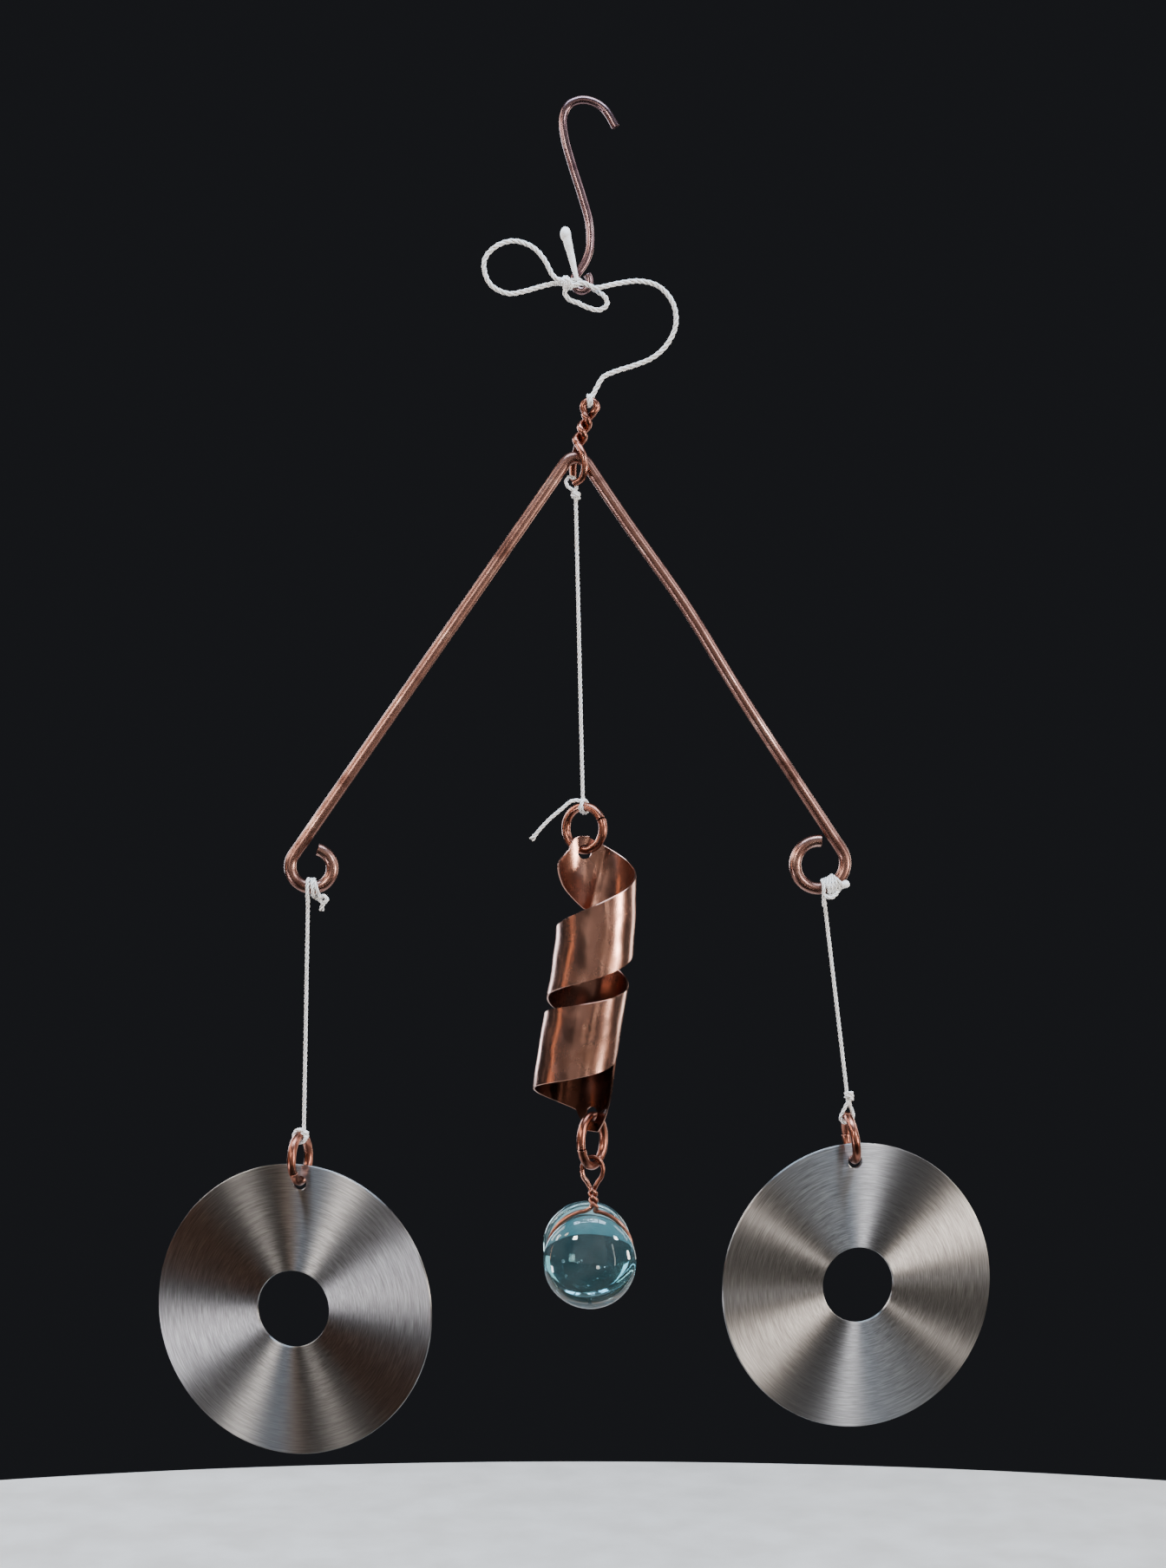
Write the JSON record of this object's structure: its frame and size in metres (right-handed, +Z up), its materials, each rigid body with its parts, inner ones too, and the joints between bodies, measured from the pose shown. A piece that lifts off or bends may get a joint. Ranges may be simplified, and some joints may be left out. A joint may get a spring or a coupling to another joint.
{
  "type": "hanging mobile sculpture",
  "caption": "Hanging wire mobile: on a hook and cord, a bent copper arm carries a brushed disc at each end and, between them, a wound copper strip with a glass drop.",
  "frame": {"origin": "underside of the hook's bend, where the mobile hangs", "axes": "+Z up along the hang, +X to the right as seen from the front, +Y away from the front"},
  "size_m": [0.2796, 0.0459, 0.4484],
  "materials": {
    "dark_copper": "drawn copper wire, darkened",
    "brown_copper": "drawn copper wire, brown patina",
    "bright_copper": "drawn copper wire, lightly tarnished",
    "sheet_copper": "burnished copper sheet",
    "brushed_aluminium": "circular brushed",
    "clear_glass": "clear blue-green glass with small bubbles",
    "white_cord": "twisted white cord"
  },
  "bodies": {
    "root": {"ceiling_hook": "dark_copper", "twist_hanger": "bright_copper", "arm_wire": "brown_copper", "left_disc_ring": "bright_copper", "left_disc": "brushed_aluminium", "left_cord_curl_wraps": "white_cord", "left_cord_ring_knot": "white_cord", "left_cord": "white_cord", "right_disc_ring": "bright_copper", "right_disc": "brushed_aluminium", "right_cord_curl_wraps": "white_cord", "right_cord_ring_knot": "white_cord", "right_cord": "white_cord", "spiral_ring": "bright_copper", "glass_link_ring": "bright_copper", "copper_spiral": "sheet_copper", "front_glass_gem": "clear_glass", "back_glass_gem": "clear_glass", "glass_bail": "bright_copper", "suspension_cord_knot": "white_cord", "suspension_cord_run": "white_cord", "suspension_cord_bow_loop": "white_cord", "suspension_cord_small_loop": "white_cord", "suspension_cord_tail": "white_cord", "suspension_cord_hanger_tie": "white_cord", "centre_cord_hanger_knot": "white_cord", "centre_cord": "white_cord", "centre_cord_ring_tie": "white_cord", "centre_cord_tail": "white_cord"}
  },
  "joints": []
}
